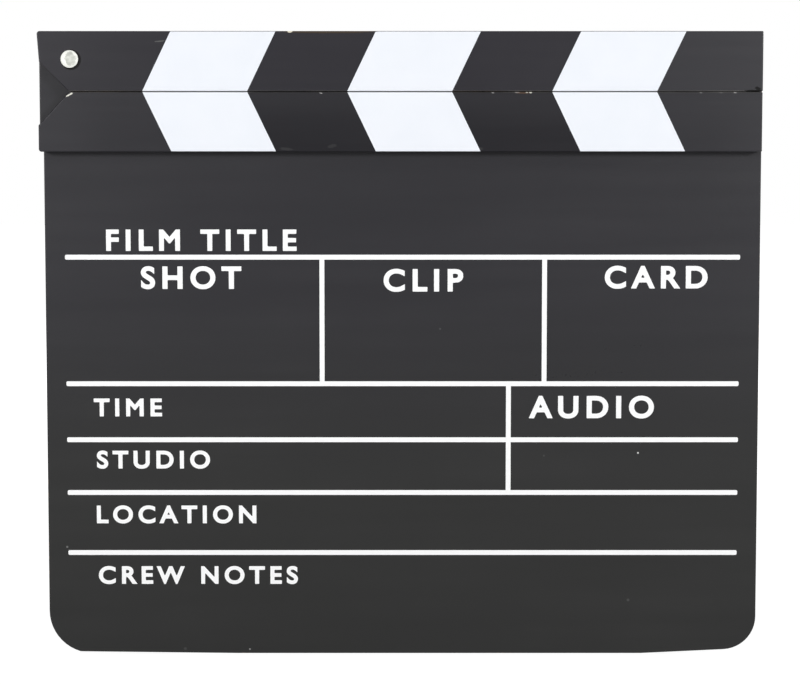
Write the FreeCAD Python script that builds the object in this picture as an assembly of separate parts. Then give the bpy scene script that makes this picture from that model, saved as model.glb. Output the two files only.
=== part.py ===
import FreeCAD, Part
import math
import os

# A clapperboard: a painted slate board, a fixed lower stick and an upper stick that swings on a rivet.
# Sizes are in millimetres. It stands upright: X runs to the right, Y from front to back and Z up.
# The origin is the middle of the board's bottom edge.

# Board
BOARD_WIDTH = 300.4
BOARD_THICKNESS = 4.0
BOARD_ABOVE_SEAM = 1.2
LEFT_CORNER_RADIUS = 18.3
RIGHT_CORNER_RADIUS = 14.2
LEFT_SANDED_RUN = 80.0
LEFT_SANDED_RISE = 0.9
RIGHT_SANDED_RUN = 49.0
RIGHT_SANDED_RISE = 2.3
BOARD_EDGE_ROUND = 0.5

# Heights of the printed fields, from the lower stick's foot down to the bottom edge
TITLE_FIELD_HEIGHT = 44.1
SHOT_FIELD_HEIGHT = 53.4
UPPER_ROW_HEIGHT = 23.8
MIDDLE_ROW_HEIGHT = 22.5
LOWER_ROW_HEIGHT = 25.7
FOOT_FIELD_HEIGHT = 43.4

# White rules and dividers of the fields
PRINT_MARGIN = 8.4
RULE_WIDTH = 2.05
RULE_END_ROUND = 0.6
FIRST_SHOT_FIELD_WIDTH = 107.9
SECOND_SHOT_FIELD_WIDTH = 93.6
SOUND_FIELD_WIDTH = 97.1
PRINT_FILM = 0.1

# Ear of the board, which carries the rivet behind the upper stick
EAR_RIGHT_OF_PIVOT = 20.3
EAR_ABOVE_PIVOT = 8.5
EAR_OVERHANG = 1.5
EAR_STEP_ABOVE_FOOT = 6.0
EAR_CORNER_RADIUS = 5.0

# Clapsticks, which span the board from just past its left edge to just short of its right edge
STICK_HEIGHT = 24.7
STICK_THICKNESS = 9.0
UPPER_STICK_OVERHANG = 1.0
LOWER_STICK_OVERHANG = 0.7
STICK_RIGHT_SETBACK = 1.15
SEAM_GAP = 0.3
END_LEAN = 0.9
STICK_EDGE_ROUND = 0.5
WORN_CORNER_RADIUS = 1.2

# White stripes, measured along the seam from the left end of the upper stick
STRIPE_START = 43.5
STRIPE_WIDTH = 43.4
STRIPE_PITCH = 84.8
STRIPE_SLANT = 11.9
STRIPE_FILM = 0.15

# Pivot
PIVOT_FROM_END = 13.6
PIVOT_ABOVE_SEAM = 13.2
CUT_LEFT_OF_PIVOT = 0.6
LOWER_CUT_EXTRA_DEPTH = 1.1
RIVET_DIAMETER = 4.0
RIVET_HEAD_DIAMETER = 7.2
RIVET_HEAD_HEIGHT = 1.6
RIVET_HEAD_RIM = 0.4
RIVET_TAIL_DIAMETER = 6.4
RIVET_TAIL_HEIGHT = 1.0
RIVET_HOLLOW_DIAMETER = 2.4
RIVET_HOLLOW_DEPTH = 3.5
RIVET_CLEARANCE = 0.05
PIVOT_PLAY = 0.1
PIVOT_WASHER_DIAMETER = 10.0
PIVOT_WASHER_THICKNESS = 0.5
BACK_WASHER_DIAMETER = 9.0
BACK_WASHER_THICKNESS = 0.8

# Countersunk screws that hold the lower stick, driven from behind
SCREW_COUNT = 4
SCREW_END_INSET = 34.0
SCREW_DIAMETER = 3.0
SCREW_HEAD_DIAMETER = 5.6
SCREW_HEAD_SINK = 0.15
SCREW_FRONT_WALL = 3.0
SCREW_TIP = 1.8
SCREW_CLEARANCE = 0.05
SCREW_RECESS_WIDTH = 0.8
SCREW_RECESS_SPAN = 3.0
SCREW_RECESS_DEPTH = 1.0

# Places worked out from the sizes above
TURN_AXIS = FreeCAD.Vector(0, 1, 0)
FACE_TOLERANCE = 1e-6
board_front = -BOARD_THICKNESS / 2
board_back = BOARD_THICKNESS / 2
board_left = -BOARD_WIDTH / 2
board_right = BOARD_WIDTH / 2

rule_5 = FOOT_FIELD_HEIGHT
rule_4 = rule_5 + LOWER_ROW_HEIGHT
rule_3 = rule_4 + MIDDLE_ROW_HEIGHT
rule_2 = rule_3 + UPPER_ROW_HEIGHT
rule_1 = rule_2 + SHOT_FIELD_HEIGHT
lower_foot = rule_1 + TITLE_FIELD_HEIGHT
lower_top = lower_foot + STICK_HEIGHT
upper_foot = lower_top + SEAM_GAP
upper_top = upper_foot + STICK_HEIGHT

lower_front = board_front - STICK_THICKNESS
upper_back = board_front - PIVOT_WASHER_THICKNESS - PIVOT_PLAY
upper_front = upper_back - STICK_THICKNESS
upper_left = board_left - UPPER_STICK_OVERHANG
lower_left = board_left - LOWER_STICK_OVERHANG
stick_right = board_right - STICK_RIGHT_SETBACK

pivot_x = upper_left + PIVOT_FROM_END
pivot_z = upper_foot + PIVOT_ABOVE_SEAM
rivet_hole = RIVET_DIAMETER + 2 * RIVET_CLEARANCE
cut_apex = pivot_x - CUT_LEFT_OF_PIVOT
lower_cut_depth = cut_apex - lower_left + LOWER_CUT_EXTRA_DEPTH

screw_z = lower_foot + STICK_HEIGHT / 2
screw_hole = SCREW_DIAMETER + 2 * SCREW_CLEARANCE
screw_reach = STICK_THICKNESS - SCREW_FRONT_WALL

print_left = board_left + PRINT_MARGIN
print_right = board_right - PRINT_MARGIN


def plate(outline, front, thickness):
    """A flat plate from an outline of (x, z) corners, its front face at y = front."""
    corners = [FreeCAD.Vector(x, front, z) for x, z in outline]
    face = Part.Face(Part.makePolygon(corners + corners[:1]))
    return face.extrude(FreeCAD.Vector(0, thickness, 0))


def edges_across(shape):
    """The edges of a plate that run from front to back."""
    return [edge for edge in shape.Edges if abs(edge.tangentAt(edge.FirstParameter).y) > 0.9]


def corner_edge(shape, x, z):
    """The edge of a plate that runs from front to back at (x, z)."""
    corner = FreeCAD.Vector(x, 0, z)
    return min(edges_across(shape), key=lambda edge: edge.CenterOfMass.sub(corner).cross(TURN_AXIS).Length)


def rim_edges(shape, levels):
    """The edges of a plate that lie wholly in its front or back face."""
    spans = [(edge, edge.BoundBox.YMin, edge.BoundBox.YMax) for edge in shape.Edges]
    return [edge for edge, low, high in spans
            if any(abs(low - y) < FACE_TOLERANCE and abs(high - y) < FACE_TOLERANCE for y in levels)]


def turned(edges, x, z):
    """A solid of revolution about the Y direction through (x, z), from a profile of (radius, y) edges."""
    profile = Part.Face(Part.Wire(edges))
    solid = profile.revolve(FreeCAD.Vector(0, 0, 0), TURN_AXIS, 360)
    solid.translate(FreeCAD.Vector(x, 0, z))
    return solid


def profile_lines(points):
    """Straight profile edges through (radius, y) points."""
    corners = [FreeCAD.Vector(radius, y, 0) for radius, y in points]
    return [Part.makeLine(start, end) for start, end in zip(corners, corners[1:])]


def profile_arc(start, middle, end):
    """A profile edge on the circle through three (radius, y) points."""
    return Part.Arc(*[FreeCAD.Vector(radius, y, 0) for radius, y in (start, middle, end)]).toShape()


def drill(diameter, x, z, front, depth):
    """A round cutter along Y."""
    return Part.makeCylinder(diameter / 2, depth, FreeCAD.Vector(x, front, z), TURN_AXIS)


def ring(outer, inner, x, z, front, thickness):
    """A flat washer that faces along Y."""
    disc = drill(outer, x, z, front, thickness)
    return disc.cut(drill(inner, x, z, front, thickness))


def screw_places():
    """The x of each screw along the lower stick."""
    first = lower_left + SCREW_END_INSET
    step = (stick_right - SCREW_END_INSET - first) / (SCREW_COUNT - 1)
    return [first + step * number for number in range(SCREW_COUNT)]


def countersink(x):
    """The seat of a screw head at the board's back, open to the back face."""
    hole_radius = screw_hole / 2
    head_radius = SCREW_HEAD_DIAMETER / 2 + SCREW_CLEARANCE
    depth = head_radius - hole_radius
    mouth = board_back - SCREW_HEAD_SINK
    apex_side = FreeCAD.Vector(x, mouth - depth, screw_z)
    cone = Part.makeCone(hole_radius, head_radius, depth, apex_side, TURN_AXIS)
    return cone.fuse(drill(2 * head_radius, x, screw_z, mouth, SCREW_HEAD_SINK))


def left_sanding():
    """The thin wedge that was sanded off the left end of the bottom edge, after its corner was rounded."""
    outline = [(board_left, 0), (board_left + LEFT_SANDED_RUN, 0), (board_left, LEFT_SANDED_RISE)]
    return plate(outline, board_front, BOARD_THICKNESS)


def slate_board():
    """The sheet with its ear, rounded bottom corners, rivet hole and countersunk screw holes."""
    ear_left = board_left - EAR_OVERHANG
    ear_right = pivot_x + EAR_RIGHT_OF_PIVOT
    ear_top = pivot_z + EAR_ABOVE_PIVOT
    ear_step = lower_foot + EAR_STEP_ABOVE_FOOT
    board_top = upper_foot + BOARD_ABOVE_SEAM
    outline = [
        (board_left, 0),
        (board_right - RIGHT_SANDED_RUN, 0),
        (board_right, RIGHT_SANDED_RISE),
        (board_right, board_top),
        (ear_right, board_top),
        (ear_right, ear_top),
        (ear_left, ear_top),
        (ear_left, ear_step),
        (board_left, ear_step),
    ]
    board = plate(outline, board_front, BOARD_THICKNESS)
    for radius, x, z in (
        (LEFT_CORNER_RADIUS, board_left, 0),
        (RIGHT_CORNER_RADIUS, board_right, RIGHT_SANDED_RISE),
        (EAR_CORNER_RADIUS, ear_right, ear_top),
        (EAR_CORNER_RADIUS, ear_left, ear_top),
    ):
        board = board.makeFillet(radius, [corner_edge(board, x, z)])
    board = board.cut(left_sanding())
    board = board.makeFillet(BOARD_EDGE_ROUND, rim_edges(board, (board_front, board_back)))
    board = board.cut(drill(rivet_hole, pivot_x, pivot_z, board_front, BOARD_THICKNESS))
    for x in screw_places():
        board = board.cut(drill(screw_hole, x, screw_z, board_front, BOARD_THICKNESS))
        board = board.cut(countersink(x))
    return board


def rounded_stick(outline, worn_corner, front):
    """A bar with its edges eased and the corner that takes the knocks rounded further."""
    stick = plate(outline, front, STICK_THICKNESS)
    stick = stick.makeFillet(WORN_CORNER_RADIUS, [corner_edge(stick, *worn_corner)])
    crisp = [corner_edge(stick, x, z) for x, z in outline if (x, z) != worn_corner]
    rims = rim_edges(stick, (front, front + STICK_THICKNESS))
    return stick.makeFillet(STICK_EDGE_ROUND, crisp + rims)


def upper_clapstick():
    """The swinging bar, cut at 45 degrees beside the pivot so that its end clears the lower bar."""
    cut_left = upper_left + END_LEAN
    outline = [
        (cut_apex, upper_foot),
        (stick_right, upper_foot),
        (stick_right, upper_top),
        (upper_left, upper_top),
        (cut_left, upper_foot + cut_apex - cut_left),
    ]
    stick = rounded_stick(outline, (upper_left, upper_top), upper_front)
    return stick.cut(drill(rivet_hole, pivot_x, pivot_z, upper_front, STICK_THICKNESS))


def lower_clapstick():
    """The fixed bar, cut slightly steeper than 45 degrees under the pivot, drilled for its screws."""
    outline = [
        (lower_left, lower_foot),
        (stick_right, lower_foot),
        (stick_right, lower_top),
        (cut_apex, lower_top),
        (lower_left, lower_top - lower_cut_depth),
    ]
    stick = rounded_stick(outline, (lower_left, lower_foot), lower_front)
    for x in screw_places():
        stick = stick.cut(drill(screw_hole, x, screw_z, board_front - screw_reach, screw_reach))
    return stick


def stripe_count():
    """As many stripes as fit on the bars, with black after the last one."""
    room = stick_right - STICK_EDGE_ROUND - upper_left - STRIPE_START - STRIPE_WIDTH - STRIPE_SLANT
    return math.floor(room / STRIPE_PITCH) + 1


def stripe(number, edge_at_seam, away, front):
    """One white stripe on the flat of a bar. It slants to the right as it leaves the seam."""
    left = upper_left + STRIPE_START + STRIPE_PITCH * number
    outline = []
    for side, height in ((0, 0), (1, 0), (1, 1), (0, 1)):
        climb = STICK_EDGE_ROUND + height * (STICK_HEIGHT - 2 * STICK_EDGE_ROUND)
        x = left + side * STRIPE_WIDTH + STRIPE_SLANT * climb / STICK_HEIGHT
        outline.append((x, edge_at_seam + away * climb))
    return plate(outline, front - STRIPE_FILM, STRIPE_FILM)


def film(left, right, low, high):
    """A straight printed line on the board's face."""
    corner = FreeCAD.Vector(left, board_front - PRINT_FILM, low)
    return Part.makeBox(right - left, PRINT_FILM, high - low, corner)


def rule(height):
    """A white rule across the board, its ends slightly rounded."""
    line = film(print_left, print_right, height - RULE_WIDTH / 2, height + RULE_WIDTH / 2)
    return line.makeFillet(RULE_END_ROUND, edges_across(line))


def divider(x, low, high):
    """A white divider that joins two rules."""
    return film(x - RULE_WIDTH / 2, x + RULE_WIDTH / 2, low, high)


def field_grid():
    """The upper four rules with the dividers between them, one joined print."""
    first_divider = print_left + FIRST_SHOT_FIELD_WIDTH
    second_divider = first_divider + SECOND_SHOT_FIELD_WIDTH
    sound_divider = print_right - SOUND_FIELD_WIDTH
    lines = [rule(height) for height in (rule_1, rule_2, rule_3, rule_4)]
    lines.append(divider(first_divider, rule_2, rule_1))
    lines.append(divider(second_divider, rule_2, rule_1))
    lines.append(divider(sound_divider, rule_4, rule_2))
    return lines[0].multiFuse(lines[1:]).removeSplitter()


def pivot_rivet():
    """A semi-tubular rivet: domed head in front, shank, and a tail rolled over the back washer."""
    shank = RIVET_DIAMETER / 2
    head = RIVET_HEAD_DIAMETER / 2
    tail = RIVET_TAIL_DIAMETER / 2
    hollow = RIVET_HOLLOW_DIAMETER / 2
    head_seat = upper_front - PIVOT_PLAY
    head_rim = head_seat - RIVET_HEAD_RIM
    head_crown = head_seat - RIVET_HEAD_HEIGHT
    tail_seat = board_back + BACK_WASHER_THICKNESS
    tail_crown = tail_seat + RIVET_TAIL_HEIGHT
    hollow_floor = tail_crown - RIVET_HOLLOW_DEPTH
    dome_height = RIVET_HEAD_HEIGHT - RIVET_HEAD_RIM
    dome_radius = (head ** 2 + dome_height ** 2) / (2 * dome_height)
    dome_middle = head / 2
    dome_centre = head_crown + dome_radius
    dome_middle_y = dome_centre - math.sqrt(dome_radius ** 2 - dome_middle ** 2)
    roll = (tail - hollow) / 2
    roll_middle = hollow + roll
    edges = [profile_arc((0, head_crown), (dome_middle, dome_middle_y), (head, head_rim))]
    edges += profile_lines([(head, head_rim), (head, head_seat), (shank, head_seat),
                            (shank, tail_seat), (tail, tail_seat)])
    edges.append(profile_arc((tail, tail_seat), (roll_middle, tail_crown), (hollow, tail_seat)))
    edges += profile_lines([(hollow, tail_seat), (hollow, hollow_floor),
                            (0, hollow_floor), (0, head_crown)])
    return turned(edges, pivot_x, pivot_z)


def pivot_washer():
    """The thin washer that keeps the upper stick off the ear."""
    front = board_front - PIVOT_WASHER_THICKNESS
    return ring(PIVOT_WASHER_DIAMETER, rivet_hole, pivot_x, pivot_z, front, PIVOT_WASHER_THICKNESS)


def back_washer():
    """The washer under the rivet's tail."""
    return ring(BACK_WASHER_DIAMETER, rivet_hole, pivot_x, pivot_z, board_back, BACK_WASHER_THICKNESS)


def stick_screw(x):
    """A countersunk wood screw with a cross recess, its head just under the board's back face."""
    shank = SCREW_DIAMETER / 2
    head = SCREW_HEAD_DIAMETER / 2
    head_top = board_back - SCREW_HEAD_SINK
    neck = head_top - (head - shank)
    point = board_front - screw_reach + SCREW_CLEARANCE
    edges = profile_lines([(0, head_top), (head, head_top), (shank, neck),
                           (shank, point + SCREW_TIP), (0, point), (0, head_top)])
    screw = turned(edges, x, screw_z)
    for width, height in ((SCREW_RECESS_SPAN, SCREW_RECESS_WIDTH), (SCREW_RECESS_WIDTH, SCREW_RECESS_SPAN)):
        corner = FreeCAD.Vector(x - width / 2, head_top - SCREW_RECESS_DEPTH, screw_z - height / 2)
        screw = screw.cut(Part.makeBox(width, SCREW_RECESS_DEPTH, height, corner))
    return screw


def stick_screws():
    """All the screws, as separate solids in one group."""
    return Part.makeCompound([stick_screw(x) for x in screw_places()])


pieces = {
    "slate_board": slate_board(),
    "lower_clapstick": lower_clapstick(),
    "upper_clapstick": upper_clapstick(),
    "field_grid": field_grid(),
    "foot_rule": rule(rule_5),
    "pivot_rivet": pivot_rivet(),
    "pivot_washer": pivot_washer(),
    "back_washer": back_washer(),
    "stick_screws": stick_screws(),
}
for number in range(stripe_count()):
    pieces[f"upper_stripe_{number + 1}"] = stripe(number, upper_foot, 1, upper_front)
    pieces[f"lower_stripe_{number + 1}"] = stripe(number, lower_top, -1, lower_front)

os.makedirs("parts", exist_ok=True)
for node, shape in pieces.items():
    shape.exportStep(f"parts/{node}.step")
    print(f"{node}: {len(shape.Solids)} solids, valid {shape.isValid()}, {shape.Volume:.1f} mm3")
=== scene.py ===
# %% [markdown]
# # Dressing a clapperboard
# The imported model holds every solid piece of the clapperboard in metres: a painted slate board, two
# clapsticks, the rivet that joins them, its washers, the screws and the white marks. This lesson leaves
# those shapes where they are and gives each one its real finish. It then adds what is only ink or wear, and
# the light and shade painted onto the sticks: the printed captions, the chipped paint, painted sheen and
# shadows.

# %% Load the imported model
import math

import bpy
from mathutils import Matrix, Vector


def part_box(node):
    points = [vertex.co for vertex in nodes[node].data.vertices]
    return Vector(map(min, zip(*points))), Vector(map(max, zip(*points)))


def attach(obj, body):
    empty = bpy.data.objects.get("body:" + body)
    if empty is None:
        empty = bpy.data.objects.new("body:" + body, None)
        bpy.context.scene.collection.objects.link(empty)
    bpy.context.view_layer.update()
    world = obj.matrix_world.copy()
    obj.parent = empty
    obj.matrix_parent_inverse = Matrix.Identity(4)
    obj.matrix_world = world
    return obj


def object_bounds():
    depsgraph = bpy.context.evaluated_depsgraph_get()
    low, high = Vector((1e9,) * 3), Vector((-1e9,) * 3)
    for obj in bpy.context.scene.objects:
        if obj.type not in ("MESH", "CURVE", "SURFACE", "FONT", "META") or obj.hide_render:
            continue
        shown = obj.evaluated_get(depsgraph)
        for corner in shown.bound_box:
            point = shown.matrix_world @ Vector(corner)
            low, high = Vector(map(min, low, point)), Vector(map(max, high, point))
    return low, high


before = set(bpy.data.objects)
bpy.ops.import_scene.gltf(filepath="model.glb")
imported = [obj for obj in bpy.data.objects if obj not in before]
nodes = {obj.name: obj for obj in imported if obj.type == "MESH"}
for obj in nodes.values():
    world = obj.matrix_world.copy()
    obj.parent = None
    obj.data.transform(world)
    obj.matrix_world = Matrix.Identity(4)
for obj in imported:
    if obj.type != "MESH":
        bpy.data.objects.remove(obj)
cad_low, cad_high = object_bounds()
MM = 0.001
print("pieces loaded:", len(nodes), "box in mm:", [round(side / MM, 1) for side in cad_high - cad_low])

# %% [markdown]
# ## The camera
# A product shot like this is taken from about a metre away with a long lens, nearly square on and a
# little above the middle. The sides of the board lean in by a few pixels towards the bottom, and that lean
# fixes both the distance and the tilt. One camera tipped about its own X axis is enough, so no lens shift
# is needed.

# %% Place the camera
bpy.context.scene.view_settings.view_transform = "Standard"

CAMERA_PLACE = Vector((-1.07, -967.95, 211.59)) * MM
CAMERA_TILT_DOWN = math.radians(4.661)
LENS_LENGTH = 103.5
SENSOR_WIDTH = 36.0

bpy.ops.object.camera_add(location=CAMERA_PLACE, rotation=(math.pi / 2 - CAMERA_TILT_DOWN, 0, 0))
camera = bpy.context.object
camera.data.sensor_width = SENSOR_WIDTH
camera.data.lens = LENS_LENGTH
bpy.context.scene.camera = camera
print("camera at", [round(c / MM) for c in camera.location], "mm, lens", camera.data.lens, "mm")

# %% [markdown]
# ## White surround
# The object stands in front of plain white. A lamp strong enough to burn a backdrop out would burn the
# white stripes out too, so the white is a property of the surround instead: rays that come straight from
# the camera, and those mirrored by metal, see a surround of strength 1, while the light that falls on the
# object stays at a moderate level.

# %% Helpers for shader nodes
def add_node(tree, kind, inputs=None, **settings):
    """Adds a shader node. Inputs maps a socket to a plain value or to another node's output."""
    made = tree.nodes.new(kind)
    for setting, value in settings.items():
        setattr(made, setting, value)
    for socket, value in (inputs or {}).items():
        if isinstance(value, bpy.types.NodeSocket):
            tree.links.new(value, made.inputs[socket])
        else:
            made.inputs[socket].default_value = value
    return made


def seen_directly(tree):
    """1 for rays that show the surround itself: from the camera, in a mirror or through glass."""
    path = add_node(tree, "ShaderNodeLightPath").outputs
    either = add_node(tree, "ShaderNodeMath", {0: path["Is Camera Ray"], 1: path["Is Glossy Ray"]},
                      operation="MAXIMUM").outputs[0]
    return add_node(tree, "ShaderNodeMath", {0: either, 1: path["Is Transmission Ray"]},
                    operation="MAXIMUM").outputs[0]


# %% White surround
SURROUND_WHITE = (1.0, 1.0, 1.0, 1.0)
SURROUND_LIGHT = (0.97, 0.985, 1.0, 1.0)
SURROUND_LIGHT_STRENGTH = 0.25

world = bpy.data.worlds.new("white_surround")
bpy.context.scene.world = world
world.use_nodes = True
sky = world.node_tree
sky.nodes.clear()
lighting = add_node(sky, "ShaderNodeBackground",
                    {"Color": SURROUND_LIGHT, "Strength": SURROUND_LIGHT_STRENGTH})
showing = add_node(sky, "ShaderNodeBackground", {"Color": SURROUND_WHITE, "Strength": 1.0})
either_sky = add_node(sky, "ShaderNodeMixShader",
                      {0: seen_directly(sky), 1: lighting.outputs[0], 2: showing.outputs[0]})
add_node(sky, "ShaderNodeOutputWorld", {"Surface": either_sky.outputs[0]})
print("surround lights at", SURROUND_LIGHT_STRENGTH)

# %% [markdown]
# ## Floor
# The object stands on the same white. A plain white floor would turn grey further out, where little light
# reaches it, and a floor that only glows would lose the object's soft shadow. So the floor adds a glow to
# its own shading for the rays that show it: fully white further out, and less near the object, where the
# shading keeps the shadow.

# %% Floor finish
FLOOR_WHITE = (0.8, 0.8, 0.8, 1.0)
FLOOR_SHADE = (0.40, 0.40, 0.40, 1.0)
NEAR_OBJECT, FAR_FROM_OBJECT = 0.2, 0.7
GLOW_NEAR, GLOW_FAR = 0.86, 1.0

floor_finish = bpy.data.materials.new("white_floor")
floor_finish.use_nodes = True
ground = floor_finish.node_tree
ground.nodes.clear()
spot = add_node(ground, "ShaderNodeTexCoord").outputs["Object"]
away = add_node(ground, "ShaderNodeVectorMath", {0: spot}, operation="LENGTH").outputs["Value"]
glow_level = add_node(ground, "ShaderNodeMapRange",
                      {"Value": away, "From Min": NEAR_OBJECT, "From Max": FAR_FROM_OBJECT,
                       "To Min": GLOW_NEAR, "To Max": GLOW_FAR}, interpolation_type="SMOOTHSTEP")
bounced = add_node(ground, "ShaderNodeBsdfDiffuse", {"Color": FLOOR_WHITE})
shaded = add_node(ground, "ShaderNodeBsdfDiffuse", {"Color": FLOOR_SHADE})
glow = add_node(ground, "ShaderNodeEmission",
                {"Color": SURROUND_WHITE, "Strength": glow_level.outputs["Result"]})
shown = add_node(ground, "ShaderNodeAddShader", {0: shaded.outputs[0], 1: glow.outputs[0]})
either_floor = add_node(ground, "ShaderNodeMixShader",
                        {0: seen_directly(ground), 1: bounced.outputs[0], 2: shown.outputs[0]})
add_node(ground, "ShaderNodeOutputMaterial", {"Surface": either_floor.outputs[0]})
print("floor glows at", GLOW_NEAR, "near the object and at", GLOW_FAR, "further out")

# %% Floor
FLOOR_SIZE = 12.0

bpy.ops.object.select_all(action="DESELECT")
bpy.ops.mesh.primitive_plane_add(size=FLOOR_SIZE, location=(0, 0, cad_low.z))
floor = bpy.context.object
floor.name = "floor"
floor.data.materials.append(floor_finish)
print("floor at z", round(floor.location.z / MM, 2), "mm")

# %% [markdown]
# ## Lamps
# The shadow under the lower stick is only two millimetres deep, although the stick stands nine
# millimetres proud, so the light comes from hardly any higher than the stick. The black is brightest at the
# left and right ends and dullest low in the middle, which is the sheen of two soft lamps set wide apart,
# one on either side of the camera. The white, which has next to no sheen, is then lit evenly, as it should
# be. A weaker pair stands opposite, so that the back can be read when the board is turned round.

# %% Soft lamps
def soft_lamp(name, place, size, power):
    """A square soft lamp that points at the middle of the object."""
    middle = (cad_low + cad_high) / 2
    bpy.ops.object.light_add(type="AREA", location=place)
    lamp = bpy.context.object
    lamp.name = name
    lamp.data.size = size
    lamp.data.energy = power
    lamp.rotation_euler = (middle - lamp.location).to_track_quat("-Z", "Y").to_euler()
    return lamp


LAMP_ASIDE, LAMP_AWAY, LAMP_UP = 0.855, 1.53, 0.50
LAMP_SIZE = 0.28
FRONT_POWER = 13.1
BACK_POWER = 7.0
for side, along in (("left", -1), ("right", 1)):
    for face, across, power in (("front", -1, FRONT_POWER), ("back", 1, BACK_POWER)):
        place = (along * LAMP_ASIDE, across * LAMP_AWAY, LAMP_UP)
        soft_lamp(f"lamp_{face}_{side}", place, LAMP_SIZE, power)

# %% [markdown]
# ## A workbench for finishes
# Every finish below is mixed from the same few steps: a noise at a real size, a band that turns a value
# into a mask, a mix of two colours and a bump. All of them read Object coordinates, which are metres in
# the model's own frame, so a speck of 0.4 mm is written as 0.4 mm and stays on its piece when the stick
# swings.

# %% Steps of a shader
# Sockets of the node that mixes two colours
MIX_FACTOR, MIX_FIRST, MIX_SECOND, MIX_RESULT = 0, 6, 7, 2


class ShaderSteps:
    """Steps in a node tree. Each one adds shader nodes and gives back the socket with its result."""

    def __init__(self, tree):
        self.tree = tree
        coordinates = add_node(tree, "ShaderNodeTexCoord")
        self.place = coordinates.outputs["Object"]
        self.facing = coordinates.outputs["Normal"]

    def axis(self, name, vector=None):
        """One axis, X, Y or Z, of a vector, or of the place on the piece."""
        return add_node(self.tree, "ShaderNodeSeparateXYZ", {0: vector or self.place}).outputs[name]

    def sum(self, operation, first, second=0.0):
        """One step of arithmetic."""
        return add_node(self.tree, "ShaderNodeMath", {0: first, 1: second}, operation=operation).outputs[0]

    def both(self, *masks):
        """Where every one of the masks is on."""
        result = masks[0]
        for mask in masks[1:]:
            result = self.sum("MULTIPLY", result, mask)
        return result

    def band(self, value, start, end, low=0.0, high=1.0):
        """Goes smoothly from low to high as the value goes from start to end."""
        ramp = add_node(self.tree, "ShaderNodeMapRange",
                        {"Value": value, "From Min": start, "From Max": end, "To Min": low, "To Max": high},
                        interpolation_type="SMOOTHSTEP")
        return ramp.outputs["Result"]

    def mix(self, factor, first, second):
        """A colour between two colours."""
        blend = add_node(self.tree, "ShaderNodeMix",
                         {MIX_FACTOR: factor, MIX_FIRST: first, MIX_SECOND: second}, data_type="RGBA")
        return blend.outputs[MIX_RESULT]


# %% Finishes at real size
# Nearly all values of a noise lie between these two
MIDTONES = (0.3, 0.7)


class Finish(ShaderSteps):
    """A material being mixed from steps that have real sizes."""

    def __init__(self, name, **sockets):
        self.material = bpy.data.materials.new(name)
        self.material.use_nodes = True
        super().__init__(self.material.node_tree)
        self.shader = self.tree.nodes["Principled BSDF"]
        for socket, value in sockets.items():
            self.shader.inputs[socket.replace("_", " ")].default_value = value

    def feed(self, socket, result):
        """Joins a result to one of the shader's sockets."""
        self.tree.links.new(result, self.shader.inputs[socket])

    def noise(self, size, detail=2.0, stretch=(1.0, 1.0, 1.0)):
        """Cloudy noise whose lumps are about this size in millimetres, longer along a stretched axis."""
        shrink = Vector([1 / length for length in stretch])
        spread = add_node(self.tree, "ShaderNodeVectorMath", {0: self.place, 1: shrink},
                          operation="MULTIPLY")
        cloud = add_node(self.tree, "ShaderNodeTexNoise",
                         {"Vector": spread.outputs[0], "Scale": 1 / (size * MM), "Detail": detail})
        return cloud.outputs["Fac"]

    def bump(self, height, depth, under=None):
        """A bump of this depth in millimetres, over an earlier bump if one is given."""
        inputs = {"Height": height, "Distance": depth * MM, "Strength": 1.0}
        if under:
            inputs["Normal"] = under
        return add_node(self.tree, "ShaderNodeBump", inputs).outputs["Normal"]

    def blob(self, centre, half_sizes, tilt=0.0):
        """How far a place lies from an ellipsoid's centre: 1 on its skin. Sizes are in metres."""
        turn = (0, -math.radians(tilt), 0)
        inside = add_node(self.tree, "ShaderNodeMapping",
                          {"Vector": self.place, "Location": centre, "Rotation": turn, "Scale": half_sizes},
                          vector_type="TEXTURE")
        return add_node(self.tree, "ShaderNodeVectorMath", {0: inside.outputs[0]},
                        operation="LENGTH").outputs["Value"]


def paint(finish, *names):
    """Gives CAD nodes a finish in place of their plain colour."""
    for name in names:
        nodes[name].data.materials.clear()
        nodes[name].data.materials.append(finish.material)
    print(finish.material.name, "on", ", ".join(names))


# %% [markdown]
# ## Worn edge and flecks of the board
# The board is thin fibreboard. Its coat wears through to brown board only on the outer edge, and a few
# flecks of white ink and dust lie on its front. An image could be painted for this, but it would have to be
# fitted to the mesh. The worn spots are noise kept to the rounded edge instead, where the surface faces
# neither front nor back, and each fleck is a small ellipsoid of colour at a chosen place.

# %% Wear and flecks of the board
BARE_BOARD = (0.20, 0.135, 0.085, 1.0)
# Shares of the normal along Y where the wear starts and is full, coming from the face and from the side
OFF_THE_FACE, OFF_THE_SIDE = (0.97, 0.8), (0.05, 0.3)
WORN_RUN, WORN_RUN_RANGE = 28, (0.56, 0.66)
WORN_SPOT, WORN_SPOT_RANGE = 1.6, (0.5, 0.6)
INK_FLECK = (0.75, 0.75, 0.74, 1.0)
BOARD_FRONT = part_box("slate_board")[0].y
FLECK_DEPTH = 3 * MM
FLECK_EDGE = (1.0, 0.5)
# Each fleck: x and z in mm, radius in mm, strength
BOARD_FLECKS = (
    (99.6, 86.0, 0.45, 1.0),
    (59.8, 84.8, 0.55, 0.04),
    (15.8, 138.6, 0.55, 0.05),
    (95.9, 23.0, 0.75, 0.05),
    (-65.0, 1.8, 0.45, 0.35),
    (-92.5, 2.0, 0.80, 0.04),
    (-142.3, 45.8, 0.60, 0.17),
)


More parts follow.
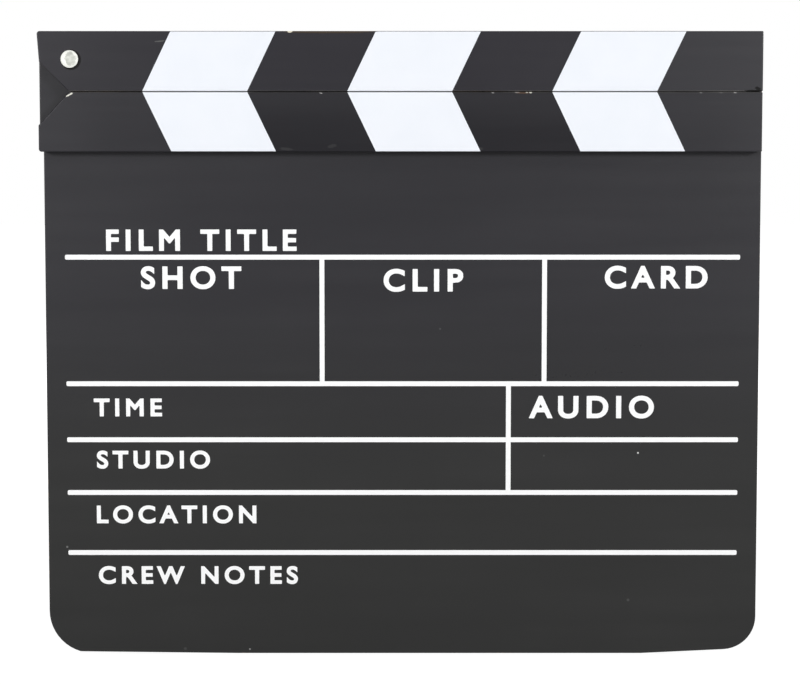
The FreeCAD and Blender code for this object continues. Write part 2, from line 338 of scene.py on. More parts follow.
def board_edge_wear(finish):
    """1 on the worn spots of the rounded edge."""
    across = finish.sum("ABSOLUTE", finish.axis("Y", finish.facing))
    rounding = finish.both(finish.band(across, *OFF_THE_FACE), finish.band(across, *OFF_THE_SIDE))
    return finish.both(rounding, finish.band(finish.noise(WORN_RUN), *WORN_RUN_RANGE),
                       finish.band(finish.noise(WORN_SPOT, detail=3), *WORN_SPOT_RANGE))


def flecked(finish, colour):
    """Lays the flecks of ink and dust over a colour."""
    for x, z, radius, strength in BOARD_FLECKS:
        away = finish.blob((x * MM, BOARD_FRONT, z * MM), (radius * MM, FLECK_DEPTH, radius * MM))
        colour = finish.mix(finish.band(away, *FLECK_EDGE, 0.0, strength), colour, INK_FLECK)
    return colour


print("flecks on the board:", len(BOARD_FLECKS), "on the face at y", round(BOARD_FRONT / MM, 2), "mm")

# %% [markdown]
# ## Black board paint
# The coat is a rolled satin black. Up close the roller leaves a fine stipple, and wiping leaves faint
# streaks along the length. The black is slightly cool at the top and turns neutral towards the foot. The
# streaks and the stipple come from noise at their real size, which stays sharp however close the camera
# comes.

# %% Board paint
PAINT_BLACK = (0.0148, 0.0143, 0.0178, 1.0)
PAINT_HAZE = (0.0186, 0.0180, 0.0216, 1.0)
FOOT_BLACK = (0.0148, 0.0149, 0.0146, 1.0)
FOOT_HAZE = (0.0186, 0.0187, 0.0184, 1.0)
COOL_FROM, COOL_FULL = 60 * MM, 170 * MM
PAINT_SPECULAR = 0.22
CLOUD_SIZE, CLOUD_RANGE = 70, (0.30, 0.75)
WIPE_WIDTH, WIPE_STRETCH, WIPE_RANGE = 9, (14, 1, 1), (0.25, 0.75)
GLOSS_RANGE, BOARD_ROUGHNESS = (0.2, 0.8), (0.27, 0.33)
BOARD_STIPPLE, BOARD_STIPPLE_DEPTH = 0.9, 0.012
STIPPLE_ROUGHNESS = (0.0, 0.04)


def board_paint():
    """Cloudy, wiped black that turns neutral at the foot, with wear, flecks and a stippled skin."""
    finish = Finish("satin_board_paint", Specular_IOR_Level=PAINT_SPECULAR)
    wiping = finish.noise(WIPE_WIDTH, detail=4, stretch=WIPE_STRETCH)
    clouds = finish.noise(CLOUD_SIZE, detail=3)
    haze = finish.both(finish.band(clouds, *CLOUD_RANGE), finish.band(wiping, *WIPE_RANGE))
    cool = finish.band(finish.axis("Z"), COOL_FROM, COOL_FULL)
    black = finish.mix(cool, FOOT_BLACK, PAINT_BLACK)
    hazed = finish.mix(cool, FOOT_HAZE, PAINT_HAZE)
    colour = finish.mix(haze, black, hazed)
    colour = finish.mix(board_edge_wear(finish), colour, BARE_BOARD)
    finish.feed("Base Color", flecked(finish, colour))
    stipple = finish.noise(BOARD_STIPPLE)
    gloss = finish.sum("ADD", finish.band(wiping, *GLOSS_RANGE, *BOARD_ROUGHNESS),
                       finish.band(stipple, *MIDTONES, *STIPPLE_ROUGHNESS))
    finish.feed("Roughness", gloss)
    finish.feed("Normal", finish.bump(stipple, BOARD_STIPPLE_DEPTH))
    return finish


paint(board_paint(), "slate_board")

# %% [markdown]
# ## Where the stripes run
# The white of each stripe was sprayed on over the rounded edge of the stick, at the seam and at the foot,
# which keeps the chevrons unbroken when the stick is down. The stripe pieces cover only the flat, so
# the paint of the stick has to know where they are. Reading that from the stripe pieces themselves means
# that nothing has to be typed in twice.

# %% Measure the stripes
LEVEL_TOLERANCE = 0.02 * MM
STRIPE_COUNT = sum(name.startswith("upper_stripe_") for name in nodes)


def stripe_edge(name, pick):
    """Left end, right end and height of a stripe's top edge (pick is max) or bottom edge (pick is min)."""
    points = [vertex.co for vertex in nodes[name].data.vertices]
    level = pick(point.z for point in points)
    along = [point.x for point in points if abs(point.z - level) < LEVEL_TOLERANCE]
    return min(along), max(along), level


def stripe_rhythm(stick):
    """First left end, width, pitch and lean of the stripes on a stick, and the height they are taken at."""
    left, right, foot = stripe_edge(f"{stick}_stripe_1", min)
    top_left, _, top = stripe_edge(f"{stick}_stripe_1", max)
    next_left, _, _ = stripe_edge(f"{stick}_stripe_2", min)
    return left, right - left, next_left - left, (top_left - left) / (top - foot), foot


for stick in ("upper", "lower"):
    measured = [round(value / MM, 2) for value in stripe_rhythm(stick)[:3]]
    print(stick, "stripes: left, width, pitch in mm", measured)

# %% Stripes over the edge
# Shares of the normal where the white starts and is full, on the front and towards the outside
WRAP_FRONT, WRAP_OUTSIDE = (-0.2, -0.4), (0.65, 0.5)


def stripe_wrap(finish, stick, clap_side):
    """1 where a stripe's white goes on over a stick's rounded front edge, but not far on the outside."""
    left, width, pitch, lean, foot = stripe_rhythm(stick)
    rise = finish.sum("SUBTRACT", finish.axis("Z"), foot)
    along = finish.sum("SUBTRACT", finish.axis("X"), left)
    along = finish.sum("SUBTRACT", along, finish.sum("MULTIPLY", rise, lean))
    turns = finish.sum("DIVIDE", along, pitch)
    inside = finish.sum("LESS_THAN", finish.sum("FRACT", turns), width / pitch)
    from_middle = finish.sum("ABSOLUTE", finish.sum("SUBTRACT", turns, STRIPE_COUNT / 2))
    counted = finish.sum("LESS_THAN", from_middle, STRIPE_COUNT / 2)
    front = finish.band(finish.axis("Y", finish.facing), *WRAP_FRONT)
    outside = finish.sum("MULTIPLY", finish.axis("Z", finish.facing), -clap_side)
    return finish.both(inside, counted, front, finish.band(outside, *WRAP_OUTSIDE))


# %% [markdown]
# ## Chips and scuffs
# The sticks are softwood bars under the same satin black. Small chips along the seam and the crest show
# bare wood, and the flats carry a few scuffs. A dark notch at the right end and a thicker seam line beside
# it are painted shadow. A chip could be cut into the mesh, but it is only as deep as the paint, so it is a
# mask: an ellipsoid at a chosen place, made ragged by noise, which changes the colour and sinks the surface
# a little.

# %% List the marks
BARE_WOOD = (0.78, 0.72, 0.58, 1.0)
SPLIT_WOOD = (0.76, 0.75, 0.67, 1.0)
RAW_EDGE = (0.085, 0.052, 0.036, 1.0)
PALE_DUST = (0.55, 0.53, 0.52, 1.0)
WORN_BROWN = (0.050, 0.034, 0.020, 1.0)
SCUFF_GREY = (0.075, 0.075, 0.075, 1.0)
# Near black for painted shadow: the notch and seam line at the right end, and the shade around the rivet
PAINTED_SHADOW_BLACK = (0.004, 0.004, 0.004, 1.0)
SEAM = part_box("lower_clapstick")[1].z
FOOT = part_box("lower_clapstick")[0].z
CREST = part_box("upper_clapstick")[1].z

# Each mark: colour, x in mm, a level of the stick, rise above that level in mm, half length and half height
# in mm, tilt in degrees, strength
UPPER_MARKS = (
    (WORN_BROWN, -31.0, CREST, -0.30, 22.0, 0.70, 0, 0.9),
    (BARE_WOOD, -46.5, CREST, -0.25, 1.3, 0.50, 0, 1.0),
    (SCUFF_GREY, -100.3, CREST, -4.2, 2.4, 0.35, 5, 1.0),
    # Painted shadow: a dark notch at the right end, then a thicker dark seam line beside it
    (PAINTED_SHADOW_BLACK, 146.9, SEAM, 1.35, 1.4, 0.75, -20, 1.0),
    (PAINTED_SHADOW_BLACK, 145.4, SEAM, 0.45, 4.4, 0.45, 0, 1.0),
)
LOWER_MARKS = (
    (SPLIT_WOOD, -138.0, SEAM, -1.25, 1.7, 0.36, 29, 1.0),
    (SPLIT_WOOD, -137.3, SEAM, -0.85, 0.9, 0.41, 29, 1.0),
    (PALE_DUST, -33.8, SEAM, -0.50, 0.7, 0.30, -15, 0.52),
    (PALE_DUST, 37.4, SEAM, -0.30, 0.65, 0.33, 0, 0.43),
    (RAW_EDGE, 49.8, SEAM, -0.30, 3.6, 0.55, 0, 0.9),
    (PALE_DUST, 47.4, SEAM, -0.20, 1.2, 0.33, 0, 0.37),
    (SPLIT_WOOD, 51.4, SEAM, -0.20, 0.7, 0.30, 0, 0.62),
    (SPLIT_WOOD, 53.0, SEAM, -0.25, 0.75, 0.38, 0, 0.78),
    (PALE_DUST, 123.4, SEAM, -0.30, 0.7, 0.31, 0, 0.31),
    (PALE_DUST, 131.8, SEAM, -0.30, 0.9, 0.30, 0, 0.12),
    (PALE_DUST, 137.6, SEAM, -0.25, 0.78, 0.36, 0, 0.48),
    (SCUFF_GREY, -48.3, FOOT, 1.2, 3.0, 0.70, -6, 0.22),
    (SCUFF_GREY, -29.2, FOOT, 2.4, 2.4, 0.90, 15, 0.20),
    (SCUFF_GREY, 32.5, FOOT, 1.3, 1.2, 0.60, -15, 0.25),
)
print("marks:", len(UPPER_MARKS), "on the upper stick,", len(LOWER_MARKS), "on the lower stick")

# %% Lay the marks
CHIP_DEPTH = 1.4 * MM
CHIP_EDGE = (1.0, 0.7)
RAGGED_SIZE, RAGGED_RANGE = 0.9, (0.82, 1.12)


def marked(finish, colour, marks, front):
    """Lays chips and scuffs over a colour. Gives the colour and a mask of where the paint is gone."""
    ragged = finish.band(finish.noise(RAGGED_SIZE, detail=3), *MIDTONES, *RAGGED_RANGE)
    gone = 0.0
    for shade, x, level, rise, half_length, half_height, tilt, strength in marks:
        centre = (x * MM, front, level + rise * MM)
        away = finish.blob(centre, (half_length * MM, CHIP_DEPTH, half_height * MM), tilt)
        spot = finish.band(finish.sum("DIVIDE", away, ragged), *CHIP_EDGE, 0.0, strength)
        colour = finish.mix(spot, colour, shade)
        if shade != SCUFF_GREY:
            gone = finish.sum("MAXIMUM", spot, gone)
    return colour, gone


# %% [markdown]
# ## Painted sheen and light
# The ends of the sticks are paler, a painted sheen, and the lower stick is paler just below the seam, a
# painted light that leaves its face darker towards the foot. Both are faint and wide, with no outline to
# paint, so each is a smooth band along one axis that mixes a paler black in.

# %% Painted sheen and light
UPPER_BLACK = (0.0127, 0.0117, 0.0163, 1.0)
UPPER_HAZE = (0.0165, 0.0154, 0.0202, 1.0)
# The lower stick's black is painted darker than the upper's, a painted shade for a face that catches less
# sheen
LOWER_SHADED_BLACK = (0.0022, 0.0018, 0.0042, 1.0)
LOWER_SHADED_HAZE = (0.0042, 0.0037, 0.0064, 1.0)
# Paler black for the painted sheen on the stick ends and the painted light below the seam
PAINTED_LIGHT_BLACK = (0.0215, 0.0208, 0.0250, 1.0)
STICK_CLOUD_SIZE = 45
# Each painted sheen on an end: left (-1) or right (1), strength, start and full strength in mm from the
# middle
UPPER_END_SHEEN = ((-1, 0.25, 70, 105), (1, 1.0, 70, 105))
LOWER_END_SHEEN = ((-1, 0.6, 70, 105), (1, 0.6, 70, 105), (-1, 0.6, 118, 142), (1, 0.5, 125, 148))
# Painted light below the seam, which leaves the lower stick darker towards its foot
SEAM_LIGHT_DEPTH = 20 * MM
UPPER_SEAM_LIGHT, LOWER_SEAM_LIGHT = 0.0, 0.45


def hazed_black(finish, black, haze, end_sheens, seam_light):
    """The black of a stick, cloudy all over, with painted sheen on its ends and painted light below the
    seam.
    """
    clouds = finish.noise(STICK_CLOUD_SIZE, detail=3)
    colour = finish.mix(finish.band(clouds, *CLOUD_RANGE), black, haze)
    for end, strength, start, full in end_sheens:
        along = finish.sum("MULTIPLY", finish.axis("X"), end)
        # Painted sheen towards this end
        end_sheen_mask = finish.band(along, start * MM, full * MM, 0.0, strength)
        colour = finish.mix(end_sheen_mask, colour, PAINTED_LIGHT_BLACK)
    if seam_light:
        # Painted light below the seam
        below = finish.sum("SUBTRACT", SEAM, finish.axis("Z"))
        colour = finish.mix(finish.band(below, SEAM_LIGHT_DEPTH, 0.0, 0.0, seam_light), colour, PAINTED_LIGHT_BLACK)
    return colour


print("held places:", len(UPPER_END_SHEEN), "on the upper stick,", len(LOWER_END_SHEEN), "on the lower stick")

# %% [markdown]
# ## Rubbed and lit edges
# The rounded front edges along the seam are paler, partly rubbed by handling and partly a painted
# highlight.
# At the left end the rim of the upper stick's slanting cut has a painted light over its shade, and that of
# the lower stick a painted shade over its highlight. A shader can find such an edge by itself. On a
# rounding the surface faces partly to the front and partly to the other stick, so a band on each part of
# the normal leaves just the edge, and a stretched noise breaks it up.

# %% Rubbed and lit edges
# Paler edge colour: wear along the seam with a painted highlight, and a painted light on the upper cut's
# rim
EDGE_WEAR_AND_HIGHLIGHT = (0.065, 0.062, 0.062, 1.0)
# Shares of the normal where a kind of edge starts and is full
FRONT_ROUNDING, SEAM_ROUNDING, CUT_ROUNDING = (-0.05, -0.25), (0.2, 0.5), (0.1, 0.3)
NOT_SIDEWAYS = (0.2, 0.1)
RUBBED_SIZE, RUBBED_STRETCH = 6, (4, 1, 1)
RUBBED_RANGE, RUBBED_STRENGTH = (0.35, 0.65), (0.4, 1.0)
# Painted light (upper) and painted shade (lower) on the rim of each slanting cut: colour, strength, start
# and full strength in mm from the middle
UPPER_CUT_LIGHT = (EDGE_WEAR_AND_HIGHLIGHT, 0.35, -140, -146)
LOWER_CUT_SHADE = (LOWER_SHADED_BLACK, 0.6, -134, -137)


def stick_facing(finish, clap_side):
    """How far a place faces the front (-1 is straight ahead), the other stick, and either end."""
    forward = finish.axis("Y", finish.facing)
    inward = finish.sum("MULTIPLY", finish.axis("Z", finish.facing), clap_side)
    sideways = finish.sum("ABSOLUTE", finish.axis("X", finish.facing))
    return forward, inward, sideways


def rubbed_and_lit_edges(finish, colour, facing, cut_shading):
    """Pales the seam's rounded front edge with wear and painted highlight, and paints the cut's rim with
    the given light or shade. Gives the colour and the noise.
    """
    forward, inward, sideways = facing
    rounded = finish.band(forward, *FRONT_ROUNDING)
    rub_and_light_noise = finish.band(finish.noise(RUBBED_SIZE, detail=3, stretch=RUBBED_STRETCH),
                          *RUBBED_RANGE, *RUBBED_STRENGTH)
    seam_edge = finish.both(rounded, finish.band(inward, *SEAM_ROUNDING),
                            finish.band(sideways, *NOT_SIDEWAYS))
    # Paler seam edge: wear and painted highlight
    colour = finish.mix(finish.both(seam_edge, rub_and_light_noise), colour, EDGE_WEAR_AND_HIGHLIGHT)
    painted_cut_rim = finish.both(rounded, finish.band(inward, *CUT_ROUNDING), finish.band(sideways, *CUT_ROUNDING))
    cut_shading_colour, strength, start, full = cut_shading
    # The painted light or painted shade given for this stick's cut rim
    painted_cut_end = finish.band(finish.axis("X"), start * MM, full * MM, 0.0, strength)
    return finish.mix(finish.both(painted_cut_rim, painted_cut_end), colour, cut_shading_colour), rub_and_light_noise


# %% [markdown]
# ## Worn clapping faces and lit lips
# The faces that clap together have lost paint in patches, which show only when the sticks are open. Their
# front lips are grey, partly worn and partly a painted light that pales the shadow in the seam, most of all
# at the free end, so the closed seam is only a faint line there. The patches are two noises at once, a wide
# one for their places and a fine, stretched one for the scratches in them, so that no two places are worn
# alike.

# %% Worn clapping faces and lit lips
CLAP_WORN = (0.20, 0.14, 0.085, 1.0)
# Shares of the normal where a face starts to count as the clapping one, and where it does so fully
CLAP_FACING, LIP_FACING = (0.8, 0.95), (0.6, 0.9)
PATCH_SIZE, PATCH_STRETCH, PATCH_RANGE = 20, (4, 1, 1), (0.5, 0.6)
SCRATCH_SIZE, SCRATCH_STRETCH, SCRATCH_RANGE = 1.2, (10, 1, 1), (0.4, 0.6)
# Grey lips: wear and a painted light that pales the seam's shadow, strongest at the free end
LIP_WEAR_AND_LIGHT = (0.13, 0.125, 0.12, 1.0)
FREE_END_LIP_WEAR_AND_LIGHT = (0.25, 0.243, 0.236, 1.0)
LIP_DEPTH = 1.2 * MM
FREE_END_FROM, FREE_END_FULL = 98 * MM, 110 * MM


def worn_and_lit_clap_face(finish, colour, inward, rub_and_light_noise, front):
    """Takes paint off the clapping face in scratched patches, and greys its front lip with wear and painted
    light.
    """
    patches = finish.band(finish.noise(PATCH_SIZE, detail=4, stretch=PATCH_STRETCH), *PATCH_RANGE)
    scratches = finish.band(finish.noise(SCRATCH_SIZE, detail=3, stretch=SCRATCH_STRETCH), *SCRATCH_RANGE)
    bald = finish.both(finish.band(inward, *CLAP_FACING), patches, scratches)
    colour = finish.mix(bald, colour, CLAP_WORN)
    lit_lip = finish.both(finish.band(inward, *LIP_FACING), rub_and_light_noise,
                      finish.band(finish.axis("Y"), front + LIP_DEPTH, front))
    free_end = finish.band(finish.axis("X"), FREE_END_FROM, FREE_END_FULL)
    return finish.mix(lit_lip, colour, finish.mix(free_end, LIP_WEAR_AND_LIGHT, FREE_END_LIP_WEAR_AND_LIGHT))


# %% [markdown]
# ## Painted shadow around the rivet
# The head of the rivet casts a soft shadow on the stick, most of it at the lower right, and that shadow is
# painted into the stick as a dark crescent. A ring of its own would stand off the paint, so it is a mask in
# the paint of the stick, measured from the rivet itself.

# %% Painted shadow around the rivet
# Painted shadow of the rivet's head on the stick, shifted towards its lower right
RIVET_SHADOW_SHIFT = Vector((0.55, 0.0, -0.30)) * MM
RIVET_SHADOW_RING = (1.32, 1.05)
# Half depth in metres of an ellipsoid that reaches right through the object
THROUGH = 1.0


def rivet_circle():
    """Middle and radius of the rivet's head."""
    low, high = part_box("pivot_rivet")
    return (low + high) / 2, (high.x - low.x) / 2


def rivet_shadow(finish):
    """1 in the painted shadow around the rivet, which reaches furthest at its lower right."""
    middle, radius = rivet_circle()
    away = finish.blob(middle + RIVET_SHADOW_SHIFT, (radius, THROUGH, radius))
    return finish.band(away, *RIVET_SHADOW_RING)


print("rivet head:", round(2 * rivet_circle()[1] / MM, 2), "mm wide")

# %% [markdown]
# ## Clapstick paint
# Both sticks have the same coat and differ only in its tone, its wear and the light and shade painted on
# it, so one function lays it: the black with its haze and painted sheen, then the rubbed and lit edges and
# faces, the white of the stripes, the chips and the painted shadows. The grain of the wood shows through as
# long faint ridges. The sawn cuts at the left end, the chips and the painted shadows are duller than the
# rest.

# %% Stick paint
STRIPE_WHITE = (0.798, 0.821, 0.869, 1.0)
SAWN_FACING = (0.05, 0.2)
GRAIN_WIDTH, GRAIN_STRETCH, GRAIN_RANGE = 2.5, (25, 1, 1), (0.25, 0.75)
GRAIN_DEPTH = 0.0025
STICK_ROUGHNESS = (0.285, 0.315)
DULLING = 0.5
STICK_STIPPLE, STICK_STIPPLE_DEPTH = 0.8, 0.008
CHIP_SINK = 0.12


def stick_paint(stick, colours, end_sheens, seam_light, cut_shading, marks, clap_side):
    """Paint for one stick. Its clapping face points down (clap_side is -1) or up (clap_side is 1)."""
    finish = Finish(f"{stick}_stick_paint", Specular_IOR_Level=PAINT_SPECULAR)
    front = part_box(f"{stick}_clapstick")[0].y
    facing = stick_facing(finish, clap_side)
    _, inward, sideways = facing
    colour = hazed_black(finish, *colours, end_sheens, seam_light)
    colour, rub_and_light_noise = rubbed_and_lit_edges(finish, colour, facing, cut_shading)
    colour = worn_and_lit_clap_face(finish, colour, inward, rub_and_light_noise, front)
    colour = finish.mix(stripe_wrap(finish, stick, clap_side), colour, STRIPE_WHITE)
    colour, gone = marked(finish, colour, marks, front)
    # Painted shadow around the rivet's head, mixed in as a near black
    rivet_shade = rivet_shadow(finish)
    finish.feed("Base Color", finish.mix(rivet_shade, colour, PAINTED_SHADOW_BLACK))
    sawn = finish.both(finish.band(sideways, *SAWN_FACING),
                       finish.band(finish.sum("ABSOLUTE", inward), *SAWN_FACING))
    dulled = finish.sum("MAXIMUM", sawn, finish.sum("MAXIMUM", gone, rivet_shade))
    grain = finish.noise(GRAIN_WIDTH, detail=1, stretch=GRAIN_STRETCH)
    gloss = finish.band(grain, *GRAIN_RANGE, *STICK_ROUGHNESS)
    finish.feed("Roughness", finish.sum("ADD", gloss, finish.sum("MULTIPLY", dulled, DULLING)))
    stipple = finish.bump(finish.noise(STICK_STIPPLE), STICK_STIPPLE_DEPTH)
    ridges = finish.bump(grain, GRAIN_DEPTH, under=stipple)
    finish.feed("Normal", finish.bump(finish.sum("MULTIPLY", gone, -1.0), CHIP_SINK, under=ridges))
    return finish


upper_paint = stick_paint("upper", (UPPER_BLACK, UPPER_HAZE), UPPER_END_SHEEN, UPPER_SEAM_LIGHT, UPPER_CUT_LIGHT,
                          UPPER_MARKS, -1)
lower_paint = stick_paint("lower", (LOWER_SHADED_BLACK, LOWER_SHADED_HAZE), LOWER_END_SHEEN, LOWER_SEAM_LIGHT, LOWER_CUT_SHADE,
                          LOWER_MARKS, 1)
paint(upper_paint, "upper_clapstick")
paint(lower_paint, "lower_clapstick")

# %% [markdown]
# ## White stripes
# The stripes are a sprayed coat of cool white, with a drier, less glossy skin than the black. One even
# colour would do from afar, but up close it would look cut out of paper, so the coat has a hint of cloud in
# its colour and the same kind of stipple as the black.

# %% Stripe white
STRIPE_SHADE = (0.782, 0.808, 0.858, 1.0)
WHITE_SPECULAR = 0.3
STRIPE_CLOUD_SIZE, STRIPE_CLOUD_RANGE = 18, (0.35, 0.7)
STRIPE_STIPPLE, STRIPE_STIPPLE_DEPTH = 0.8, 0.01
STRIPE_ROUGHNESS = (0.42, 0.52)


def stripe_white():
    """Cool white with faint clouds and a stippled skin."""
    finish = Finish("stripe_white", Specular_IOR_Level=WHITE_SPECULAR)
    clouds = finish.band(finish.noise(STRIPE_CLOUD_SIZE), *STRIPE_CLOUD_RANGE)
    finish.feed("Base Color", finish.mix(clouds, STRIPE_WHITE, STRIPE_SHADE))
    stipple = finish.noise(STRIPE_STIPPLE)
    finish.feed("Roughness", finish.band(stipple, *MIDTONES, *STRIPE_ROUGHNESS))
    finish.feed("Normal", finish.bump(stipple, STRIPE_STIPPLE_DEPTH))
    return finish


stripes = [name for name in nodes if "_stripe_" in name]
paint(stripe_white(), *stripes)

# %% [markdown]
# ## White print
# Rules and captions are screen printed: a thin opaque ink with a dry, slightly pitted surface. One noise
# gives the pits, the thinner ink in them and the uneven gloss, so that all three agree.

# %% Print ink
INK_WHITE = (0.93, 0.93, 0.93, 1.0)
INK_THIN = (0.80, 0.80, 0.81, 1.0)
PIT_SIZE, PIT_RANGE, PIT_DEPTH = 0.35, (0.62, 0.75), 0.01
INK_ROUGHNESS = (0.55, 0.7)


def print_ink():
    """White ink, thinner and rougher in its pits."""
    finish = Finish("white_print_ink", Specular_IOR_Level=WHITE_SPECULAR)
    pits = finish.noise(PIT_SIZE, detail=3)
    finish.feed("Base Color", finish.mix(finish.band(pits, *PIT_RANGE), INK_WHITE, INK_THIN))
    finish.feed("Roughness", finish.band(pits, *MIDTONES, *INK_ROUGHNESS))
    finish.feed("Normal", finish.bump(pits, PIT_DEPTH))
    return finish


ink = print_ink()
paint(ink, "field_grid", "foot_rule")

# %% [markdown]
# ## Worn metal
# The rivet, the screws and one washer are plain metal that has aged. Each could have a material of its own
# from the start, but they age alike, so they share one recipe: blotches of a duller colour and a rougher
# skin from one noise, over a fine grain. In hollows the colour turns darker with depth.

# %% Worn metal
BLOTCH_SIZE, BLOTCH_RANGE = 1.5, (0.40, 0.62)
METAL_GRAIN, METAL_GRAIN_DEPTH = 0.5, 0.01
RIVET_ROUGHNESS, STEEL_ROUGHNESS = (0.7, 0.8), (0.3, 0.45)
# Colour that hollows turn to with depth
HOLLOW_DARK = (0.04, 0.038, 0.035, 1.0)
HOLLOW_DARK_FROM, HOLLOW_DARK_FULL = 0.05 * MM, 0.5 * MM


def worn_metal(name, bright, dull, roughness):
    """A metal with blotches of a duller colour and a rougher skin. Gives the finish and its colour."""
    finish = Finish(name, Metallic=1.0)
    blotch = finish.noise(BLOTCH_SIZE, detail=4)
    colour = finish.mix(finish.band(blotch, *BLOTCH_RANGE), bright, dull)
    finish.feed("Roughness", finish.band(blotch, *MIDTONES, *roughness))
    finish.feed("Normal", finish.bump(finish.noise(METAL_GRAIN, detail=3), METAL_GRAIN_DEPTH))
    finish.feed("Base Color", colour)
    return finish, colour


def sunk(finish, top):
    """Goes from 0 at a height along Y to 1 about half a millimetre in front of it."""
    depth = finish.sum("SUBTRACT", top, finish.axis("Y"))
    return finish.band(depth, HOLLOW_DARK_FROM, HOLLOW_DARK_FULL)


# %% [markdown]
# ## Rivet
# The rivet is an aluminium one with a low dome. Its head is dull in the middle, with a painted highlight
# towards its rim that is wider on the left, as if lit from that side. Its tail, clinched behind the board,
# is hollow and darker with depth inside. The dull middle could be a plain disc, but it is a ragged patch a
# little right of the centre, so noise shifts its outline.

# %% Rivet
RIVET_BRIGHT = (0.52, 0.53, 0.495, 1.0)
RIVET_DULL = (0.475, 0.485, 0.45, 1.0)
# Colour of the painted highlight on the rim of the rivet's head
RIVET_RIM_HIGHLIGHT = (0.77, 0.775, 0.74, 1.0)
DULL_SHIFT = Vector((0.40, 0.0, 0.10)) * MM
DULL_HALF_WIDTH, DULL_HALF_HEIGHT = 2.1 * MM, 2.6 * MM
DULL_EDGE = (0.85, 1.25)
DULL_RAGGED_SIZE, DULL_RAGGED_RANGE = 1.2, (0.85, 1.15)
TAIL_HOLLOW = 1.2 * MM


def rivet_metal():
    """Aluminium, dull in the middle of the head with a painted highlight around it, darker with depth in
    the hollow tail.
    """
    finish, colour = worn_metal("rivet_aluminium", RIVET_BRIGHT, RIVET_DULL, RIVET_ROUGHNESS)
    middle, radius = rivet_circle()
    ragged = finish.band(finish.noise(DULL_RAGGED_SIZE, detail=3), *MIDTONES, *DULL_RAGGED_RANGE)
    from_dull = finish.blob(middle + DULL_SHIFT, (DULL_HALF_WIDTH, THROUGH, DULL_HALF_HEIGHT))
    # Painted highlight towards the rim, wider on the left because the dull patch is shifted right
    rim_highlight = finish.band(finish.sum("DIVIDE", from_dull, ragged), *DULL_EDGE)
    colour = finish.mix(rim_highlight, colour, RIVET_RIM_HIGHLIGHT)
    away = finish.blob(middle, (radius, THROUGH, radius))
    hollow = finish.sum("LESS_THAN", away, TAIL_HOLLOW / radius)
    behind = finish.sum("GREATER_THAN", finish.axis("Y"), BOARD_FRONT)
    tail_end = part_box("pivot_rivet")[1].y
    colour = finish.mix(finish.both(hollow, behind, sunk(finish, tail_end)), colour, HOLLOW_DARK)
    finish.feed("Base Color", colour)
    return finish


paint(rivet_metal(), "pivot_rivet")

# %% [markdown]
# ## Screws and washers
# Four steel screws hold the lower stick from behind, and the cross of each head is darker with depth. A
# thin nylon washer sits behind the upper stick, and a steel one under the rivet's tail. They show only from
# behind or from the side, so the shared metal and a plain milky plastic are enough.

# %% Screws
SCREW_BRIGHT = (0.55, 0.54, 0.52, 1.0)
SCREW_DULL = (0.42, 0.41, 0.39, 1.0)


def screw_metal():
    """Steel that is darker with depth in the cross of the head."""
    finish, colour = worn_metal("screw_steel", SCREW_BRIGHT, SCREW_DULL, STEEL_ROUGHNESS)
    recess = sunk(finish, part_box("stick_screws")[1].y)
    finish.feed("Base Color", finish.mix(recess, colour, HOLLOW_DARK))
    return finish


paint(screw_metal(), "stick_screws")

# %% Washers
WASHER_BRIGHT = (0.62, 0.62, 0.61, 1.0)
WASHER_DULL = (0.48, 0.48, 0.47, 1.0)
NYLON_CLOUDY = (0.72, 0.71, 0.66, 1.0)
NYLON_CLEAR = (0.80, 0.79, 0.75, 1.0)
NYLON_SPECULAR = 0.45
NYLON_CLOUD_SIZE = 2
NYLON_ROUGHNESS = (0.38, 0.48)


def nylon():
    """Milky plastic with small clouds."""
    finish = Finish("milky_nylon", Specular_IOR_Level=NYLON_SPECULAR)
    clouds = finish.noise(NYLON_CLOUD_SIZE)
    finish.feed("Base Color", finish.mix(clouds, NYLON_CLOUDY, NYLON_CLEAR))
    finish.feed("Roughness", finish.band(clouds, *MIDTONES, *NYLON_ROUGHNESS))
    return finish


washer_finish, _ = worn_metal("washer_steel", WASHER_BRIGHT, WASHER_DULL, STEEL_ROUGHNESS)
paint(washer_finish, "back_washer")
paint(nylon(), "pivot_washer")

# %% [markdown]
# ## Words in bold capitals
# Each field has a caption in wide, bold capitals with soft corners, as a screen prints them. The built-in
# font is too thin, so a round bevel makes every stroke bolder. That leaves overlapping faces inside the
# letters, which a voxel remesh turns into one clean skin. A little smoothing softens the corners, and a
# planar decimate removes the faces that the flat fronts don't need.

# %% Shape one word
LETTER_GAP = 1.38
LETTER_WEIGHT = 0.034
LETTER_BODY = 0.02
LETTER_ROUNDING = 2
LETTER_WIDTH = 1.04
VOXEL = 0.013
SMOOTHING, SMOOTHING_PASSES = 0.5, 4
FLAT_ANGLE = math.radians(8)
LETTER_STEPS = (
    ("REMESH", {"mode": "VOXEL", "voxel_size": VOXEL}),
    ("SMOOTH", {"factor": SMOOTHING, "iterations": SMOOTHING_PASSES}),
    ("DECIMATE", {"decimate_type": "DISSOLVE", "angle_limit": FLAT_ANGLE}),
)


def word_mesh(name, word):
    """A word in bold capitals as one clean mesh that lies flat at the origin."""
    bpy.ops.object.select_all(action="DESELECT")
    bpy.ops.object.text_add()
    piece = bpy.context.object
    piece.name = name
    piece.data.body = word
    piece.data.space_character = LETTER_GAP
    piece.data.extrude = LETTER_BODY
    piece.data.bevel_depth = LETTER_WEIGHT
    piece.data.bevel_resolution = LETTER_ROUNDING
    bpy.ops.object.convert(target="MESH")
    for kind, settings in LETTER_STEPS:
        step = piece.modifiers.new(kind.lower(), kind)
        for setting, value in settings.items():
            setattr(step, setting, value)
        bpy.ops.object.modifier_apply(modifier=step.name)
    return piece


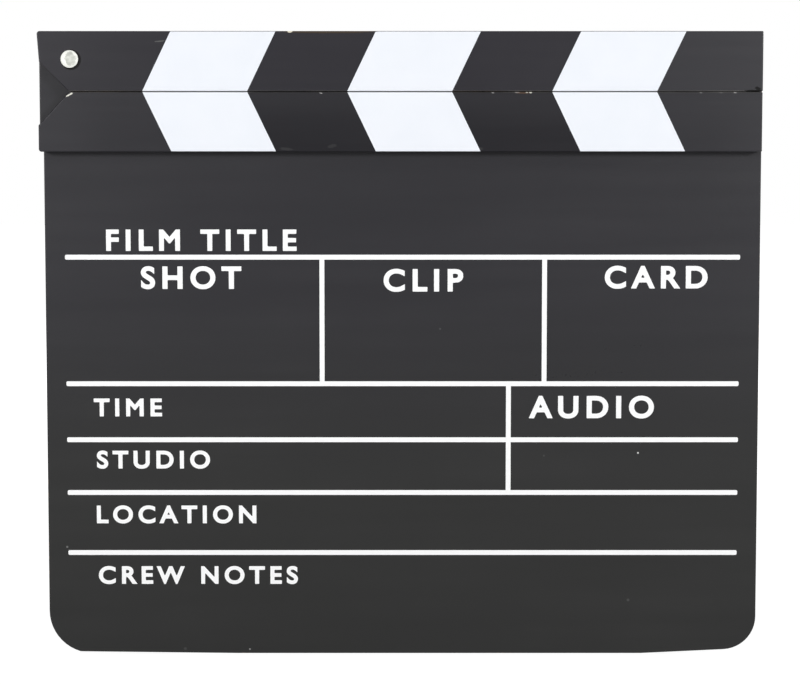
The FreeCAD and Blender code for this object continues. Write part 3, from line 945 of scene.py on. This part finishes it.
sample = word_mesh("letter_sample", "H")
CAPITAL_HEIGHT = sample.dimensions.y
CAPITAL_DEPTH = sample.dimensions.z
bpy.data.objects.remove(sample)
print("a capital is", round(CAPITAL_HEIGHT, 3), "high and", round(CAPITAL_DEPTH, 3), "deep before scaling")

# %% [markdown]
# ## Printed captions
# The words are plain ones that any slate could carry. An image on the board would print them with less
# work, but its edges would blur in a close view. Each word is a thin mesh instead: scaled to its height by
# that of a capital H, stood upright and moved to its place, with its ink as thick as the printed rules.

# %% Print one caption
INK_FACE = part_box("field_grid")[0].y
INK_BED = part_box("field_grid")[1].y


def print_caption(word, left, foot, height):
    """Prints a word with its lower left corner at x, z and this height of capitals, in millimetres."""
    piece = word_mesh("caption_" + word.lower().replace(" ", "_"), word)
    scale = height * MM / CAPITAL_HEIGHT
    start = min(vertex.co.x for vertex in piece.data.vertices) * scale * LETTER_WIDTH
    piece.scale = (scale * LETTER_WIDTH, scale, (INK_BED - INK_FACE) / CAPITAL_DEPTH)
    piece.rotation_euler = (math.pi / 2, 0, 0)
    piece.location = (left * MM - start, (INK_BED + INK_FACE) / 2, foot * MM + LETTER_WEIGHT * scale)
    bpy.ops.object.transform_apply(location=True, rotation=True, scale=True)
    piece.data.materials.append(ink.material)
    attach(piece, "slate")
    right = max(vertex.co.x for vertex in piece.data.vertices)
    print(f"{word}: from {left:.1f} to {right / MM:.1f} mm, {len(piece.data.polygons)} faces")
    return piece


# %% Print all captions
TITLE_CAPITALS = 9.0
LARGE_CAPITALS = 9.5
SMALL_CAPITALS = 7.6
CAPTIONS = (
    ("FILM TITLE", -124.5, 171.4, TITLE_CAPITALS),
    ("SHOT", -110.0, 155.4, LARGE_CAPITALS),
    ("CLIP", -8.0, 154.3, LARGE_CAPITALS),
    ("CARD", 85.0, 155.6, LARGE_CAPITALS),
    ("TIME", -130.4, 101.5, SMALL_CAPITALS),
    ("AUDIO", 53.4, 100.7, LARGE_CAPITALS),
    ("STUDIO", -129.3, 79.3, SMALL_CAPITALS),
    ("LOCATION", -129.6, 55.9, SMALL_CAPITALS),
    ("CREW NOTES", -129.0, 29.9, SMALL_CAPITALS),
)
for word, left, foot, height in CAPTIONS:
    print_caption(word, left, foot, height)
